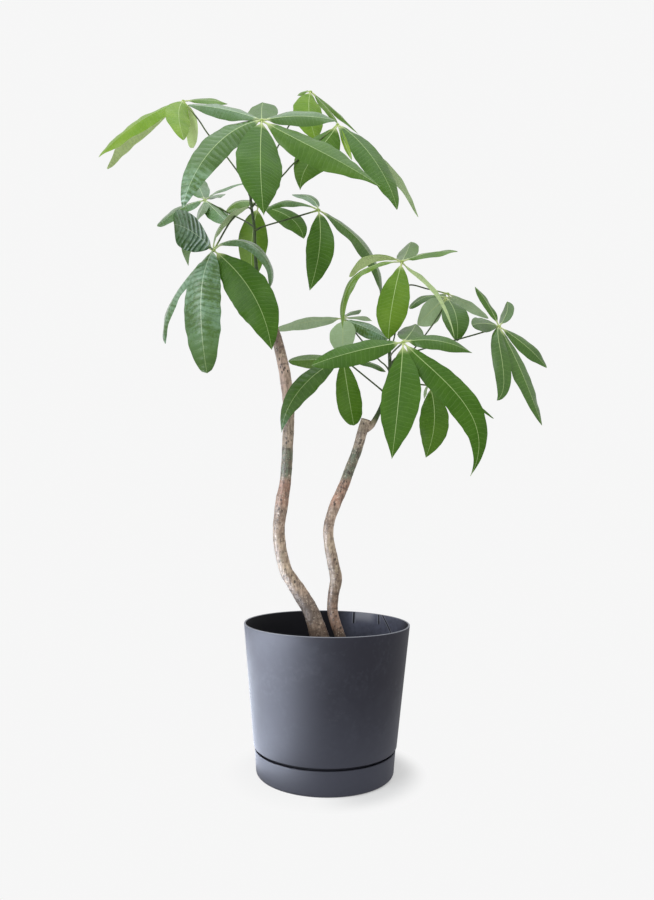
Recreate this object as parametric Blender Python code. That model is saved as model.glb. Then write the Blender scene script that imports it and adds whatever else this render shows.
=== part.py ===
"""A potted money tree (Pachira): two bent trunks, a green side shoot and sixteen hand-shaped leaves,
in a tapered plastic pot that stands on its saucer.

Metres, +Z up. The origin is the centre of the saucer's underside, and the viewer stands at -Y.
The tables hold millimetres and are scaled by MM when they are used.
"""

import math
from collections import namedtuple

import bmesh
import bpy
from mathutils import Matrix, Vector

MM = 0.001
GAP = 0.3 * MM  # clearance between pieces that touch

# Pot and saucer
RIM_RADIUS = 125.0 * MM
RIM_HEIGHT = 217.3 * MM
SHOULDER_RADIUS = 106.2 * MM  # where the wall steps in above the saucer
SHOULDER_HEIGHT = 40.0 * MM
FOOT_RADIUS = 99.6 * MM  # the part of the pot that sits down in the saucer
POT_WALL = 2.6 * MM
POT_FLOOR = 3.0 * MM
SAUCER_BASE_RADIUS = 102.0 * MM
SAUCER_RIM_RADIUS = 104.6 * MM
SAUCER_HEIGHT = 36.0 * MM
SAUCER_WALL = 2.4 * MM
SAUCER_FLOOR = 3.0 * MM
BASE_ROUNDING = 5.0 * MM
TURNED_SIDES = 52

# Soil
SOIL_HEIGHT = 165.0 * MM
SOIL_DOME = 4.0 * MM

# Leaves
HUB_RADIUS = 3.6 * MM
STALK_RADIUS = 1.5 * MM  # petiole
LEAFLET_STALK = 7.0 * MM  # bare stalk between the hub and the blade
LEAFLET_STALK_HALF = 1.3 * MM
BLADE_HALF_THICKNESS = 0.9 * MM
LEAFLET_RINGS = 8

# How fast a blade's outline closes at its tip
DRIP, TAPERED, POINTED, ROUND, BLUNT = 1.25, 1.0, 0.85, 0.7, 0.5

Stem = namedtuple("Stem", "name sides points")
Leaf = namedtuple("Leaf", "name stem stalk leaflets")
Leaflet = namedtuple("Leaflet", "midrib width roll tip", defaults=(POINTED,))

# Stems: x, y, z and radius at each hand-placed point of the axis
TRUNK_TALL = Stem(
    "trunk_tall",
    12,
    (
        (4, 0, 110, 16.5),
        (0, 0, 160, 17.5),
        (-11, 0, 196, 14.4),
        (-23, 0, 229, 12.1),
        (-37, 0, 254, 11.6),
        (-54, 2, 278, 10.8),
        (-65, 4, 297, 9.8),
        (-74, 6, 332, 9.2),
        (-76, 8, 364, 9.3),
        (-72, 8, 399, 10.2),
        (-67, 6, 433, 8.8),
        (-65, 3, 480, 8.6),
        (-64, 2, 538, 8.7),
        (-70, 4, 590, 8.8),
        (-80, 5, 636, 8.6),
        (-93, 5, 676, 7.4),
        (-109, 4, 715, 5.4),
        (-118, 2, 755, 3.2),
        (-122, 0, 795, 2.5),
        (-124, 0, 831, 2.3),
        (-129, 0, 862, 2.2),
        (-132, 0, 886, 2.0),
    ),
)
TRUNK_SHORT = Stem(
    "trunk_short",
    12,
    (
        (40, 0, 120, 9.5),
        (31, 0, 165, 8.6),
        (20, 0, 197, 8.0),
        (9, 2, 230, 8.2),
        (9, 4, 256, 8.4),
        (13, 4, 282, 9.2),
        (8, 2, 307, 9.0),
        (1, 0, 340, 7.9),
        (1, 0, 365, 7.9),
        (10, 2, 394, 8.4),
        (23, 4, 425, 8.2),
        (33, 4, 453, 7.8),
        (43, 2, 480, 7.6),
        (50, 0, 506, 7.8),
        (56, 0, 527, 8.0),
    ),
)
SIDE_SHOOT = Stem(
    "side_shoot",
    8,
    (
        (56, 0, 511, 5.0),
        (65, 0, 519, 5.0),
        (73, 0, 533, 3.8),
        (80, -1, 549, 3.2),
        (87, -2, 571, 3.0),
        (92, -4, 597, 2.9),
        (92, -4, 621, 2.8),
        (91, -4, 640, 2.4),
    ),
)

# Leaves: the stalk runs from the stem's axis to the hub, in x, y, z.
# A leaflet is two or three evenly spaced points of its midrib, the last one its tip, measured from the
# hub, then its width and how far the blade is rolled about its midrib, in degrees.
LEAVES = (
    Leaf(
        "leaf_crown_front",
        "trunk_tall",
        ((-131, 0, 876), (-125, -32, 886), (-114, -83, 913), (-102, -135, 931)),
        (
            Leaflet(((-50, -6, 12), (-103, -13, 14)), 35, 60),
            Leaflet(((-40, -23, -31), (-73, -53, -90), (-91, -75, -161)), 42, 50),
            Leaflet(((6, -63, -96), (15, -94, -178)), 63, 10, DRIP),
            Leaflet(((59, -13, -38), (112, -19, -69), (165, -25, -105)), 54, -62, DRIP),
            Leaflet(((52, 6, 11), (106, 13, 9)), 34, -65),
            Leaflet(((-6, 50, 44), (-9, 94, 84)), 48, 10, BLUNT),
        ),
    ),
    Leaf(
        "leaf_crown_left",
        "trunk_tall",
        ((-132, 0, 884), (-149, 10, 920), (-176, 22, 961), (-209, 37, 1006), (-229, 53, 1040), (-259, 70, 1082)),
        (
            Leaflet(((-69, -20, -50), (-132, -26, -116)), 46, 50),
            Leaflet(((-86, 32, -33), (-142, 52, -97)), 49, 15),
            Leaflet(((4, -49, -52), (23, -91, -118)), 42, 15),
            Leaflet(((17, 0, -43), (22, -13, -90)), 31, 85, BLUNT),
            Leaflet(((41, 13, 10), (72, 26, 12)), 23, -55),
        ),
    ),
    Leaf(
        "leaf_crown_top",
        "trunk_tall",
        ((-131, 0, 880), (-117, 26, 929), (-92, 55, 999), (-76, 84, 1052), (-42, 115, 1130)),
        (
            Leaflet(((-1, -42, -62), (12, -60, -122)), 54, 5),
            Leaflet(((28, 6, -26), (48, 12, -52)), 20, -55),
            Leaflet(((42, 24, -19), (88, 36, -58)), 18, -60),
            Leaflet(((-15, 18, 11), (-25, 36, 16)), 17, 45),
        ),
    ),
    Leaf(
        "leaf_crown_right",
        "trunk_tall",
        ((-129, 0, 866), (-83, 8, 920), (-60, 18, 952), (6, 30, 1021)),
        (
            Leaflet(((-24, -10, -41), (-48, -18, -80), (-59, -25, -124)), 64, 60, DRIP),
            Leaflet(((11, -18, -38), (22, -36, -78)), 11, -70),
            Leaflet(((40, -22, -46), (74, -45, -109), (93, -62, -171)), 50, -35, TAPERED),
            Leaflet(((48, 19, -27), (102, 30, -77), (137, 25, -145)), 22, 14),
        ),
    ),
    Leaf(
        "leaf_middle_left",
        "trunk_tall",
        ((-124, 0, 832), (-142, 19, 850), (-173, 46, 875), (-219, 80, 911)),
        (
            Leaflet(((28, 24, 32), (62, 48, 55)), 17, -25),
            Leaflet(((9, 36, 25), (24, 72, 45)), 21, -10),
            Leaflet(((23, -30, -30), (46, -48, -58)), 36, -30, BLUNT),
            Leaflet(((0, -30, -32), (-1, -54, -58)), 27, -35),
            Leaflet(((-36, -18, -23), (-73, -24, -57)), 34, 45, BLUNT),
            Leaflet(((-16, 30, 38), (-32, 60, 78)), 37, 15, BLUNT),
        ),
    ),
    Leaf(
        "leaf_middle_front",
        "trunk_tall",
        ((-129, 0, 862), (-135, -25, 852), (-151, -68, 814), (-168, -115, 750)),
        (
            Leaflet(((-22, -36, 11), (-41, -72, 8)), 52, 95, BLUNT),
            Leaflet(((-36, 0, 9), (-35, 0, -23)), 22, -25),
            Leaflet(((-38, 0, -43), (-62, 0, -89), (-64, 0, -135)), 28, 35),
            Leaflet(((-9, -36, -76), (4, -48, -185)), 52, -15, BLUNT),
            Leaflet(((60, -36, -72), (89, -48, -152)), 59, -55, TAPERED),
            Leaflet(((39, 0, 14), (73, 6, -8), (80, 12, -48)), 30, -45),
            Leaflet(((4, 36, 54), (41, 60, 92)), 26, 40),
        ),
    ),
    Leaf(
        "leaf_stem_tip",
        "trunk_tall",
        ((-131, 0, 872), (-129, 27, 882), (-125, 60, 893)),
        (
            Leaflet(((54, -15, -25), (78, -30, -66)), 37, -55),
            Leaflet(((-11, 15, -56), (-8, 22, -122)), 51, 150),
            Leaflet(((-31, 0, 7), (-56, 0, -14)), 38, 50),
        ),
    ),
    Leaf(
        "leaf_middle_right",
        "trunk_tall",
        ((-123, 0, 827), (-107, -10, 830), (-75, -22, 835), (-22, -40, 844)),
        (
            Leaflet(((-46, -6, 10), (-82, -12, -9)), 25, 45),
            Leaflet(((-14, 19, 28), (-43, 38, 42)), 22, 30, BLUNT),
            Leaflet(((3, -31, -71), (-10, -50, -142)), 42, 5, TAPERED),
            Leaflet(((48, 18, -25), (86, 32, -66), (98, 42, -121)), 37, -60),
        ),
    ),
    Leaf(
        "leaf_branch_front",
        "side_shoot",
        ((92, -4, 622), (91, -56, 620), (98, -140, 616)),
        (
            Leaflet(((-11, -48, -91), (-20, -60, -164)), 54, -5, DRIP),
            Leaflet(((48, -30, -55), (86, -50, -114), (79, -60, -184)), 45, -46, DRIP),
            Leaflet(((46, -6, 1), (94, 0, -13)), 30, -55, TAPERED),
            Leaflet(((-64, -12, -16), (-124, -12, -36)), 38, 62, ROUND),
            Leaflet(((17, 48, 27), (29, 96, 51)), 38, -15),
        ),
    ),
    Leaf(
        "leaf_branch_top",
        "side_shoot",
        ((91, -4, 636), (91, -15, 658), (97, -30, 708), (105, -50, 761)),
        (
            Leaflet(((-18, -50, -77), (-25, -62, -134)), 46, 10),
            Leaflet(((44, 6, 17), (86, 12, 21)), 25, -40),
            Leaflet(((12, 44, 31), (24, 88, 66)), 34, 5, BLUNT),
            Leaflet(((-45, 12, 10), (-79, 12, -20)), 20, -20, BLUNT),
            Leaflet(((-71, 0, -26), (-88, 0, -105)), 17, 45, ROUND),
            Leaflet(((29, 8, -23), (59, 14, -52), (80, 8, -112)), 11, 110),
        ),
    ),
    Leaf(
        "leaf_branch_inner",
        "side_shoot",
        ((93, -3, 594), (109, 14, 614), (133, 35, 646), (156, 58, 677), (186, 88, 724), (199, 110, 756)),
        (
            Leaflet(((-36, -12, -3), (-66, -24, -27)), 18, 45, BLUNT),
            Leaflet(((-32, -24, -33), (-53, -36, -59)), 40, -85),
            Leaflet(((8, -48, -44), (8, -60, -91)), 44, -10),
            Leaflet(((9, -19, -34), (14, -24, -70)), 14, 15),
        ),
    ),
    Leaf(
        "leaf_branch_back",
        "side_shoot",
        ((91, -4, 630), (101, 17, 663), (112, 41, 722), (127, 65, 762), (168, 107, 770), (209, 150, 776)),
        (
            Leaflet(((38, 6, -18), (76, 13, -40)), 30, 10),
            Leaflet(((18, 39, -26), (23, 52, -73)), 36, 0),
            Leaflet(((-20, 39, -3), (-32, 65, -38)), 36, 0),
        ),
    ),
    Leaf(
        "leaf_branch_right",
        "side_shoot",
        ((92, -4, 612), (106, 4, 628), (145, 16, 643), (208, 34, 665), (253, 45, 681), (277, 55, 692)),
        (
            Leaflet(((-16, 13, 42), (-34, 26, 75)), 21, 25),
            Leaflet(((19, 26, 29), (28, 52, 58)), 24, 10, ROUND),
            Leaflet(((-6, -26, -38), (-4, -44, -93), (-17, -52, -131)), 28, 20),
            Leaflet(((22, -18, -58), (40, -31, -113), (57, -39, -168)), 32, -30),
            Leaflet(((46, 0, -34), (78, 0, -68)), 30, -65),
            Leaflet(((-31, -33, -4), (-58, -65, -16)), 28, 65, ROUND),
        ),
    ),
    Leaf(
        "leaf_branch_left",
        "side_shoot",
        ((92, -4, 604), (85, 13, 617), (77, 28, 628), (49, 53, 667), (31, 73, 696), (20, 90, 711)),
        (
            Leaflet(((-57, -6, -7), (-116, -12, -24)), 34, -20, ROUND),
            Leaflet(((0, -30, -37), (0, -36, -74)), 44, 165),
            Leaflet(((43, 0, -17), (77, 0, -34)), 34, -60),
            Leaflet(((16, 24, 18), (33, 48, 30)), 19, -10),
            Leaflet(((27, 18, 8), (52, 36, 7)), 17, 5),
        ),
    ),
    Leaf(
        "leaf_branch_low_left",
        "side_shoot",
        ((86, -2, 568), (76, 0, 577), (32, -2, 612), (19, 0, 623)),
        (
            Leaflet(((-44, -18, -31), (-77, -31, -74), (-91, -39, -122)), 37, 52, DRIP),
            Leaflet(((8, -32, -59), (17, -39, -110)), 38, -25, BLUNT),
            Leaflet(((-46, 0, -3), (-85, 0, -5)), 29, 57, ROUND),
            Leaflet(((40, 6, -5), (68, 13, -18)), 22, -45),
        ),
    ),
    Leaf(
        "leaf_branch_low_right",
        "side_shoot",
        ((89, -2, 579), (105, 10, 583), (132, 27, 589), (162, 45, 590)),
        (
            Leaflet(((1, -39, -64), (-14, -52, -121)), 46, 10, TAPERED),
            Leaflet(((54, 0, -16), (103, 0, -52)), 25, -40),
            Leaflet(((-11, -19, -12), (-15, -39, -28)), 14, -95),
        ),
    ),
)


def clear_scene():
    for obj in list(bpy.data.objects):
        bpy.data.objects.remove(obj, do_unlink=True)


def make_material(name, colour, roughness):
    mat = bpy.data.materials.new(name)
    mat.use_nodes = True
    shader = mat.node_tree.nodes["Principled BSDF"]
    shader.inputs["Base Color"].default_value = (*colour, 1.0)
    shader.inputs["Roughness"].default_value = roughness
    shader.inputs["Metallic"].default_value = 0.0
    return mat


def add_object(name, mesh, mat=None):
    obj = bpy.data.objects.new(name, mesh)
    bpy.context.scene.collection.objects.link(obj)
    if mat:
        mesh.materials.clear()
        mesh.materials.append(mat)
    return obj


def make_helper(obj):
    """Marks an object as a cutter or a piece that another object takes in."""
    obj.hide_render = True
    obj.display_type = "WIRE"
    return obj


def mesh_from(bm, name):
    mesh = bpy.data.meshes.new(name)
    bm.to_mesh(mesh)
    bm.free()
    return mesh


def turned(name, profile, mat):
    """A solid of revolution about Z. The profile is (radius, height) pairs that start and end on the axis."""
    half_step = math.pi / TURNED_SIDES
    bm = bmesh.new()
    verts = [
        bm.verts.new((radius * math.cos(half_step), radius * math.sin(half_step), height))
        for radius, height in profile
    ]
    edges = [bm.edges.new(pair) for pair in zip(verts, verts[1:])]
    bmesh.ops.spin(
        bm,
        geom=verts + edges,
        cent=(0, 0, 0),
        axis=(0, 0, 1),
        angle=math.tau,
        steps=TURNED_SIDES,
        use_merge=True,
    )
    bmesh.ops.remove_doubles(bm, verts=bm.verts[:], dist=0.01 * MM)
    bmesh.ops.recalc_face_normals(bm, faces=bm.faces[:])
    mesh = mesh_from(bm, name)
    mesh.shade_smooth()
    mesh.set_sharp_from_angle(angle=math.radians(35))
    return add_object(name, mesh, mat)


def tube_mesh(name, points, thicken=0.0, sides=8):
    """A round tube through (x, y, z, radius) points in millimetres, along a smooth curve, with filled ends."""
    curve = bpy.data.curves.new(name, "CURVE")
    curve.dimensions = "3D"
    curve.bevel_depth = 1.0
    curve.bevel_resolution = sides // 2 - 2
    curve.use_fill_caps = True
    curve.resolution_u = 2
    spline = curve.splines.new("BEZIER")
    spline.bezier_points.add(len(points) - 1)
    for knot, (x, y, z, radius) in zip(spline.bezier_points, points):
        knot.co = Vector((x, y, z)) * MM
        knot.handle_left_type = knot.handle_right_type = "AUTO"
        knot.radius = radius * MM + thicken
    guide = add_object(name + "_guide", curve)
    bpy.context.view_layer.update()
    mesh = bpy.data.meshes.new_from_object(guide.evaluated_get(bpy.context.evaluated_depsgraph_get()))
    bpy.data.objects.remove(guide, do_unlink=True)
    bm = bmesh.new()
    bm.from_mesh(mesh)
    bmesh.ops.remove_doubles(bm, verts=bm.verts[:], dist=0.001 * MM)
    bmesh.ops.recalc_face_normals(bm, faces=bm.faces[:])
    bm.to_mesh(mesh)
    bm.free()
    mesh.name = name
    mesh.shade_smooth()
    mesh.set_sharp_from_angle(angle=math.radians(50))
    return mesh


def outline(along, tip):
    """Half width of a blade as a share of its widest, from base (0) to tip (1)."""
    base = 0.45 + 0.35 * tip
    peak = base / (base + tip)
    widest = peak**base * (1 - peak) ** tip
    return along**base * (1 - along) ** tip / widest


def on_midrib(points, along):
    """The smooth curve through evenly spaced points, from the first (0) to the last (1)."""
    last = len(points) - 1
    place = Vector()
    for number, point in enumerate(points):
        share = 1.0
        for other in range(len(points)):
            if other != number:
                share *= (along * last - other) / (number - other)
        place += share * point
    return place


def midrib_frame(points, along, roll):
    """Point on the midrib, sideways direction and upper-side direction."""
    tangent = (on_midrib(points, along + 0.01) - on_midrib(points, along - 0.01)).normalized()
    reach = points[-1] - points[0]
    level_side = Vector((-reach.y, reach.x, 0.0)).normalized()
    upper = tangent.cross(level_side).normalized()
    turn = Matrix.Rotation(-roll, 3, tangent)
    return on_midrib(points, along), turn @ upper.cross(tangent), turn @ upper


def leaflet_mesh(name, hub, leaflet):
    """One closed blade: a sphere of four sides, laid along the midrib and pressed to a lens section."""
    points = [hub] + [hub + Vector(point) * MM for point in leaflet.midrib]
    half_width, roll = leaflet.width * MM / 2, math.radians(leaflet.roll)
    bare = LEAFLET_STALK / (points[-1] - hub).length
    bm = bmesh.new()
    bmesh.ops.create_uvsphere(bm, u_segments=4, v_segments=LEAFLET_RINGS, radius=1.0)
    for vert in bm.verts:
        ring = math.acos(max(-1.0, min(1.0, -vert.co.z))) / math.pi
        reach = math.sin(ring * math.pi)
        across, through = (vert.co.x / reach, vert.co.y / reach) if reach > 0.01 else (0.0, 0.0)
        blade = max(0.0, (ring * LEAFLET_RINGS - 1) / (LEAFLET_RINGS - 1))
        along = bare + (1 - bare) * blade if ring > 0.01 else 0.0
        place, side, upper = midrib_frame(points, along, roll)
        half = max(half_width * outline(min(1.0, blade), leaflet.tip), LEAFLET_STALK_HALF)
        vert.co = place + side * (across * half) + upper * (through * BLADE_HALF_THICKNESS)
    bmesh.ops.recalc_face_normals(bm, faces=bm.faces[:])
    return mesh_from(bm, name)


def union_with(obj, helpers):
    group = bpy.data.collections.new(obj.name + "_parts")
    bpy.context.scene.collection.children.link(group)
    for helper in helpers:
        bpy.context.scene.collection.objects.unlink(helper)
        group.objects.link(helper)
        make_helper(helper)
    joined = obj.modifiers.new("leaflets", "BOOLEAN")
    joined.operation = "UNION"
    joined.operand_type = "COLLECTION"
    joined.collection = group


def cut_by(obj, cutter):
    cut = obj.modifiers.new("clear_of_" + cutter.name, "BOOLEAN")
    cut.operation = "DIFFERENCE"
    cut.object = cutter


def stem_object(stem, mat, thicken=0.0):
    name = stem.name if not thicken else stem.name + "_clearance"
    obj = add_object(name, tube_mesh(name, stem.points, thicken, stem.sides), mat)
    return make_helper(obj) if thicken else obj


def leaf_object(leaf, clearance, mat):
    hub = Vector(leaf.stalk[-1]) * MM
    stalk = [(*point, STALK_RADIUS / MM) for point in leaf.stalk]
    obj = add_object(leaf.name, tube_mesh(leaf.name, stalk), mat)
    helpers = []
    for number, leaflet in enumerate(leaf.leaflets, start=1):
        name = f"{leaf.name}_leaflet_{number}"
        helpers.append(add_object(name, leaflet_mesh(name, hub, leaflet), mat))
    knuckle = bmesh.new()
    bmesh.ops.create_icosphere(knuckle, subdivisions=1, radius=HUB_RADIUS, matrix=Matrix.Translation(hub))
    helpers.append(add_object(leaf.name + "_hub", mesh_from(knuckle, leaf.name + "_hub"), mat))
    union_with(obj, helpers)
    cut_by(obj, clearance)
    return obj


def wall_radius(height):
    """Outer radius of the pot's tapered wall."""
    share = (height - SHOULDER_HEIGHT) / (RIM_HEIGHT - SHOULDER_HEIGHT)
    return SHOULDER_RADIUS + (RIM_RADIUS - SHOULDER_RADIUS) * share


def make_saucer(mat):
    round_in = BASE_ROUNDING * (1 - math.sqrt(0.5))
    profile = (
        (0.0, 0.0),
        (SAUCER_BASE_RADIUS - BASE_ROUNDING, 0.0),
        (SAUCER_BASE_RADIUS - round_in, round_in),
        (SAUCER_BASE_RADIUS, BASE_ROUNDING),
        (SAUCER_RIM_RADIUS, SAUCER_HEIGHT),
        (SAUCER_RIM_RADIUS - SAUCER_WALL, SAUCER_HEIGHT),
        (SAUCER_BASE_RADIUS - SAUCER_WALL + 0.4 * MM, SAUCER_FLOOR + 3 * MM),
        (SAUCER_BASE_RADIUS - SAUCER_WALL - 2 * MM, SAUCER_FLOOR),
        (0.0, SAUCER_FLOOR),
    )
    return turned("saucer", profile, mat)


def make_pot(mat):
    bottom = SAUCER_FLOOR + GAP
    foot_top = SAUCER_HEIGHT + 1 * MM
    floor_top = bottom + POT_FLOOR
    profile = (
        (0.0, bottom),
        (FOOT_RADIUS - 6 * MM, bottom),
        (FOOT_RADIUS - 3 * MM, bottom + 3 * MM),
        (FOOT_RADIUS, foot_top),
        (FOOT_RADIUS, SHOULDER_HEIGHT),
        (SHOULDER_RADIUS, SHOULDER_HEIGHT),
        (RIM_RADIUS, RIM_HEIGHT - 0.8 * MM),
        (RIM_RADIUS - 0.5 * MM, RIM_HEIGHT),
        (RIM_RADIUS - POT_WALL + 0.5 * MM, RIM_HEIGHT),
        (RIM_RADIUS - POT_WALL, RIM_HEIGHT - 0.8 * MM),
        (SHOULDER_RADIUS - POT_WALL, SHOULDER_HEIGHT + 4 * MM),
        (FOOT_RADIUS - POT_WALL, SHOULDER_HEIGHT),
        (FOOT_RADIUS - POT_WALL - 3 * MM, floor_top),
        (0.0, floor_top),
    )
    return turned("pot", profile, mat)


def make_soil(mat, clearances):
    """The root ball fills the pot to below the rim, with a socket for each trunk."""
    slack = POT_WALL + GAP
    bottom = SAUCER_FLOOR + GAP + POT_FLOOR + GAP
    profile = (
        (0.0, bottom),
        (FOOT_RADIUS - slack - 3.4 * MM, bottom),
        (FOOT_RADIUS - slack, SHOULDER_HEIGHT),
        (SHOULDER_RADIUS - slack, SHOULDER_HEIGHT + 4 * MM + GAP),
        (wall_radius(SOIL_HEIGHT) - slack - 0.3 * MM, SOIL_HEIGHT),
        (RIM_RADIUS * 0.5, SOIL_HEIGHT + SOIL_DOME * 0.7),
        (0.0, SOIL_HEIGHT + SOIL_DOME),
    )
    soil = turned("soil", profile, mat)
    for cutter in clearances:
        cut_by(soil, cutter)
    return soil


def main():
    clear_scene()
    plastic = make_material("pot_plastic", (0.060, 0.064, 0.074), 0.55)
    earth = make_material("potting_soil", (0.060, 0.042, 0.030), 0.95)
    bark = make_material("bark", (0.36, 0.30, 0.24), 0.80)
    young_stem = make_material("green_stem", (0.13, 0.20, 0.07), 0.55)
    leaf_green = make_material("leaf", (0.08, 0.20, 0.04), 0.42)

    stems = {}
    for stem, mat in ((TRUNK_TALL, bark), (TRUNK_SHORT, bark), (SIDE_SHOOT, young_stem)):
        stems[stem.name] = (stem_object(stem, mat), stem_object(stem, mat, GAP))
    cut_by(stems["side_shoot"][0], stems["trunk_short"][1])

    make_saucer(plastic)
    make_pot(plastic)
    make_soil(earth, [stems[name][1] for name in ("trunk_tall", "trunk_short")])
    for leaf in LEAVES:
        leaf_object(leaf, stems[leaf.stem][1], leaf_green)


main()
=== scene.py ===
"""Looks of the potted money tree: bark, veined leaves, matte plastic pot and saucer, and potting soil.

Metres, +Z up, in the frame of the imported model. The tables hold millimetres and are scaled by MM.
"""

import math
import random
from collections import namedtuple

import bmesh
import bpy
from mathutils import Matrix, Vector, noise


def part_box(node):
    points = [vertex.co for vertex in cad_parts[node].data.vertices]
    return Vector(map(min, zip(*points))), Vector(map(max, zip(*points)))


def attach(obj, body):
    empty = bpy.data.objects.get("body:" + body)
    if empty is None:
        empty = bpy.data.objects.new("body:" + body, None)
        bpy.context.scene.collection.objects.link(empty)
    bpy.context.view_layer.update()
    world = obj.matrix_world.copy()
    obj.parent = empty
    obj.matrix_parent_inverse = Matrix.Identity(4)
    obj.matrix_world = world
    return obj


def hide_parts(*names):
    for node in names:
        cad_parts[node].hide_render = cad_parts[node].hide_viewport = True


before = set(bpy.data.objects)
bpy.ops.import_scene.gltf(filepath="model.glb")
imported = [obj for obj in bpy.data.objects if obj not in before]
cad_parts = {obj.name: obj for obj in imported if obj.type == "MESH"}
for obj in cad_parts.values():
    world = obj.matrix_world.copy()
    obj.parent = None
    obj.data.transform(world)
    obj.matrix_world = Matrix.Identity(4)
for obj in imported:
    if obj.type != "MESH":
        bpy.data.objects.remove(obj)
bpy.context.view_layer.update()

scene = bpy.context.scene
MM = 0.001

# Stems: x, y, z and radius at each given point of the axis
TRUNK_TALL = (
    (4, 0, 110, 16.5), (0, 0, 160, 17.5), (-11, 0, 196, 14.4), (-23, 0, 229, 12.1),
    (-37, 0, 254, 11.6), (-54, 2, 278, 10.8), (-65, 4, 297, 9.8), (-74, 6, 332, 9.2),
    (-76, 8, 364, 9.3), (-72, 8, 399, 10.2), (-67, 6, 433, 8.8), (-65, 3, 480, 8.6),
    (-64, 2, 538, 8.7), (-70, 4, 590, 8.8), (-80, 5, 636, 8.6), (-93, 5, 676, 7.4),
    (-109, 4, 715, 5.4), (-118, 2, 755, 3.2), (-122, 0, 795, 2.5), (-124, 0, 831, 2.3),
    (-129, 0, 862, 2.2), (-132, 0, 886, 2.0),
)
TRUNK_SHORT = (
    (40, 0, 120, 9.5), (31, 0, 165, 8.6), (20, 0, 197, 8.0), (9, 2, 230, 8.2),
    (9, 4, 256, 8.4), (13, 4, 282, 9.2), (8, 2, 307, 9.0), (1, 0, 340, 7.9),
    (1, 0, 365, 7.9), (10, 2, 394, 8.4), (23, 4, 425, 8.2), (33, 4, 453, 7.8),
    (43, 2, 480, 7.6), (50, 0, 506, 7.8), (56, 0, 527, 8.0),
)
SIDE_SHOOT = (
    (56, 0, 511, 5.0), (65, 0, 519, 5.0), (73, 0, 533, 3.8), (80, -1, 549, 3.2),
    (87, -2, 571, 3.0), (92, -4, 597, 2.9), (92, -4, 621, 2.8), (91, -4, 640, 2.4),
)

# How the bark of each stem grows: the height where it starts to turn green and how far the change reaches
# (metres), the sides of its tube, and the usual distance between ring scars
Stem = namedtuple("Stem", "node points green_from green_over sides slot seed scar_gap")
NEVER_GREEN = 2.0  # higher than the plant
STEMS = (
    Stem("trunk_tall", TRUNK_TALL, 0.665, 0.05, 40, "bark", 3, 22 * MM),
    Stem("trunk_short", TRUNK_SHORT, NEVER_GREEN, 0.05, 36, "bark", 8, 18 * MM),
    Stem("side_shoot", SIDE_SHOOT, 0.516, 0.014, 24, "green_stem", 5, 24 * MM),
)

# How fast the outline of a blade closes at its tip
DRIP, TAPERED, POINTED, ROUND, BLUNT = 1.25, 1.0, 0.85, 0.7, 0.5
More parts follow.
